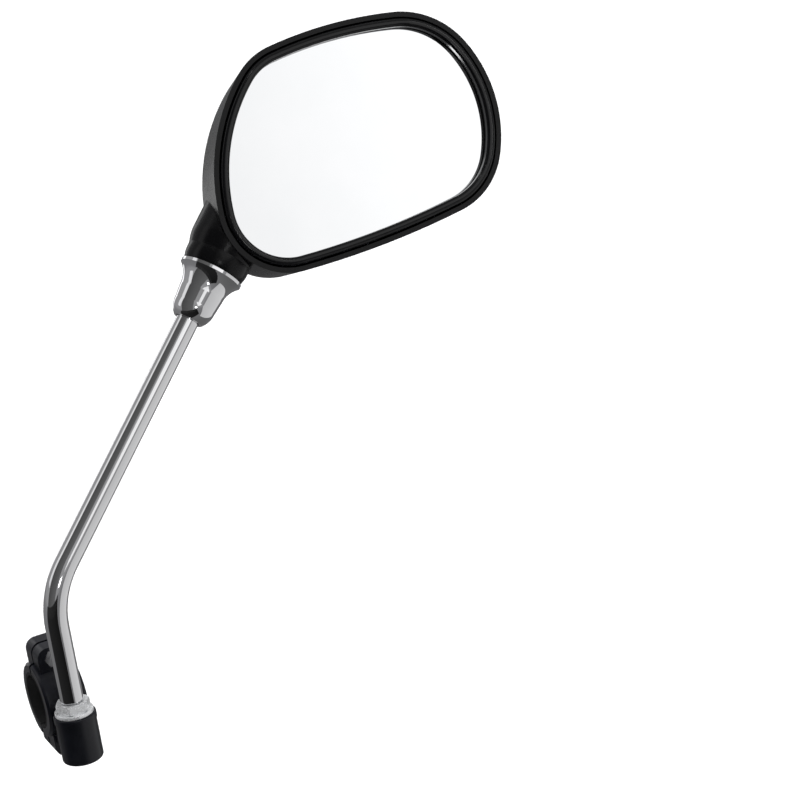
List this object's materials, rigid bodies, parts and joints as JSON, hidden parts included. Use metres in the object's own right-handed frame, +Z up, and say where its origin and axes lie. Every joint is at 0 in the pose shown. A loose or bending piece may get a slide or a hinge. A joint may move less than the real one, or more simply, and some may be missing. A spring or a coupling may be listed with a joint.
{
  "type": "bicycle handlebar mirror",
  "caption": "Handlebar mirror: black drafted head with convex glass and rear reflector, ball joint in a chrome bell, bent chrome stem, lock nut and bar clamp.",
  "frame": {"origin": "centre of the handlebar clamp's bore", "axes": "+X along the handlebar, outward; +Z up; the rider is at -Y and looks along +Y"},
  "size_m": [0.2473, 0.0649, 0.2798],
  "materials": {
    "shell_plastic": "satin black, fine spark texture",
    "bezel_plastic": "gloss black",
    "seal_rubber": "matt black",
    "mirror": "silvered, mirror bright",
    "pad_foam": "closed-cell foam, matt",
    "inner_plastic": "matt dark grey",
    "steel_screw": "zinc plated",
    "reflector_clear": "clear moulded prisms, gloss",
    "reflector_tray": "metallised, bright",
    "nylon": "natural white nylon",
    "spring_steel": "bright drawn wire",
    "chrome": "polished chrome plate",
    "ball_steel": "ground and oiled",
    "bright_zinc": "bright zinc plate",
    "clamp_plastic": "satin blue-black glass-filled nylon",
    "liner_rubber": "matt black",
    "brass": "machined"
  },
  "bodies": {
    "handlebar_clamp": {"clamp_body": "clamp_plastic", "clamp_cap": "clamp_plastic", "liner_front": "liner_rubber", "liner_rear": "liner_rubber", "clamp_screws": "steel_screw", "clamp_nuts": "steel_screw", "thread_insert": "brass", "washer": "bright_zinc"},
    "lock_nut": {"lock_nut": "bright_zinc"},
    "stem": {"stem_tube": "chrome", "threaded_stud": "ball_steel", "ball_stud": "ball_steel"},
    "bell": {"chrome_bell": "chrome", "bell_bush": "nylon"},
    "ball_seat": {"lower_ball_seat": "nylon"},
    "mirror_head": {"rear_shell": "shell_plastic", "front_bezel": "bezel_plastic", "glass_gasket": "seal_rubber", "mirror_glass": "mirror", "adhesive_pad": "pad_foam", "backing_plate": "inner_plastic", "backing_screws": "steel_screw", "reflector_lens": "reflector_clear", "reflector_tray": "reflector_tray", "upper_ball_cup": "nylon", "joint_spring": "spring_steel", "spring_retainer": "inner_plastic", "retainer_screw": "steel_screw"}
  },
  "joints": [
    {"name": "stem_swivel", "type": "hinge", "parent": "handlebar_clamp", "child": "stem", "pos_m": [0, -0.024, 0], "axis": [0, 0, 1], "range_deg": [-180, 180]},
    {"name": "nut_turn", "type": "hinge", "parent": "stem", "child": "lock_nut", "pos_m": [0, -0.024, 0.0036], "axis": [0, 0, 1], "range_deg": [-180, 180]},
    {"name": "head_spin", "type": "hinge", "parent": "stem", "child": "bell", "pos_m": [0.10639, 0.00391, 0.16632], "axis": [0.6768, 0.1775, 0.7145], "continuous": true},
    {"name": "head_tilt", "type": "hinge", "parent": "bell", "child": "ball_seat", "pos_m": [0.10639, 0.00391, 0.16632], "axis": [0.6911, 0.1813, -0.6997], "range_deg": [-18, 18]},
    {"name": "head_turn", "type": "hinge", "parent": "ball_seat", "child": "mirror_head", "pos_m": [0.10639, 0.00391, 0.16632], "axis": [-0.2538, 0.9673, 0], "range_deg": [-18, 18]}
  ]
}
